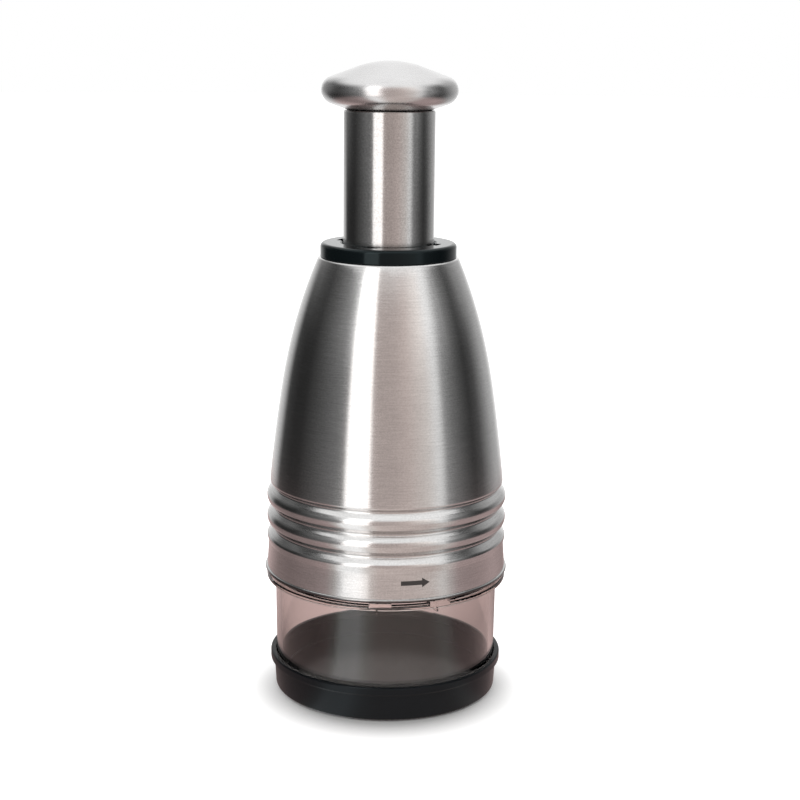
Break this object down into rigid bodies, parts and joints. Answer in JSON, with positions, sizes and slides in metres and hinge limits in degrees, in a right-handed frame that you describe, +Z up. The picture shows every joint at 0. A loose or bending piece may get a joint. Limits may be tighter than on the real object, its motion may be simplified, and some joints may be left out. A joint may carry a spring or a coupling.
{
  "type": "plunger food chopper",
  "caption": "Hand food chopper: a sprung knob drives a turning zigzag blade through a stripper plate into a clear cup, inside a beaded steel bell on a black base tray.",
  "frame": {"origin": "centre of the underside, on the surface that the non-slip ring stands on", "axes": "+Z up along the plunger, -Y towards the front with the arrow, +X the way the front turns to unlock"},
  "size_m": [0.0914, 0.0912, 0.2343],
  "materials": {
    "tray_black": "satin",
    "foot_rubber": "matt, fine texture",
    "clear_plastic": "clear, polished, faint smoky tint",
    "brushed_steel": "brushed around the axis",
    "polished_steel": "finely brushed, nearly polished",
    "collar_black": "glossy",
    "frame_plastic": "moulded, satin",
    "bearing_plastic": "moulded, natural white",
    "stripper_plastic": "moulded, satin",
    "carrier_plastic": "moulded, satin",
    "spring_steel": "bright drawn wire",
    "blade_steel": "ground, bright edge",
    "fastener_steel": "plated",
    "bumper_rubber": "matt"
  },
  "bodies": {
    "base": {"base_tray": "tray_black", "non_slip_ring": "foot_rubber"},
    "cup": {"clear_cup": "clear_plastic"},
    "housing": {"housing_shell": "brushed_steel", "inner_frame": "frame_plastic", "guide_collar": "collar_black", "guide_bush": "bearing_plastic", "index_nut": "bearing_plastic", "pawl_ring": "spring_steel", "spring_seat": "bearing_plastic", "return_spring": "spring_steel", "stripper_retainer": "frame_plastic"},
    "stripper": {"stripper_plate": "stripper_plastic"},
    "plunger": {"plunger_tube": "polished_steel", "plunger_core": "frame_plastic", "stop_ring": "frame_plastic", "stop_rivets": "fastener_steel", "stop_bumper": "bumper_rubber", "knob_cap": "polished_steel", "knob_insert": "frame_plastic", "knob_screws": "fastener_steel"},
    "blade": {"zigzag_blade": "blade_steel", "blade_carrier": "carrier_plastic", "blade_rivets": "fastener_steel", "carrier_screw": "fastener_steel", "blade_shaft": "fastener_steel", "thrust_washer": "bearing_plastic", "shaft_clip": "spring_steel"}
  },
  "joints": [
    {"name": "cup_lift", "type": "slide", "parent": "base", "child": "cup", "axis": [0, 0, 1], "range_m": [0, 0.06]},
    {"name": "bayonet_turn", "type": "hinge", "parent": "cup", "child": "housing", "pos_m": [0, 0, 0.0458], "axis": [0, 0, 1], "range_deg": [0, 20]},
    {"name": "plunger_slide", "type": "slide", "parent": "housing", "child": "plunger", "axis": [0, 0, -1], "range_m": [0, 0.042], "stiffness_N_per_m": 500, "springref_m": -0.02, "deforming": ["return_spring"]},
    {"name": "blade_turn", "type": "hinge", "parent": "plunger", "child": "blade", "pos_m": [0, 0, 0.2], "axis": [0, 0, 1], "range_deg": [0, 48.5]},
    {"name": "stripper_turn", "type": "hinge", "parent": "housing", "child": "stripper", "pos_m": [0, 0, 0.0474], "axis": [0, 0, 1], "range_deg": [0, 48.5]}
  ],
  "couplings": [
    {"joint": "blade_turn", "follows": "plunger_slide", "rad_per_m": 19.947},
    {"joint": "stripper_turn", "follows": "plunger_slide", "rad_per_m": 19.947}
  ]
}
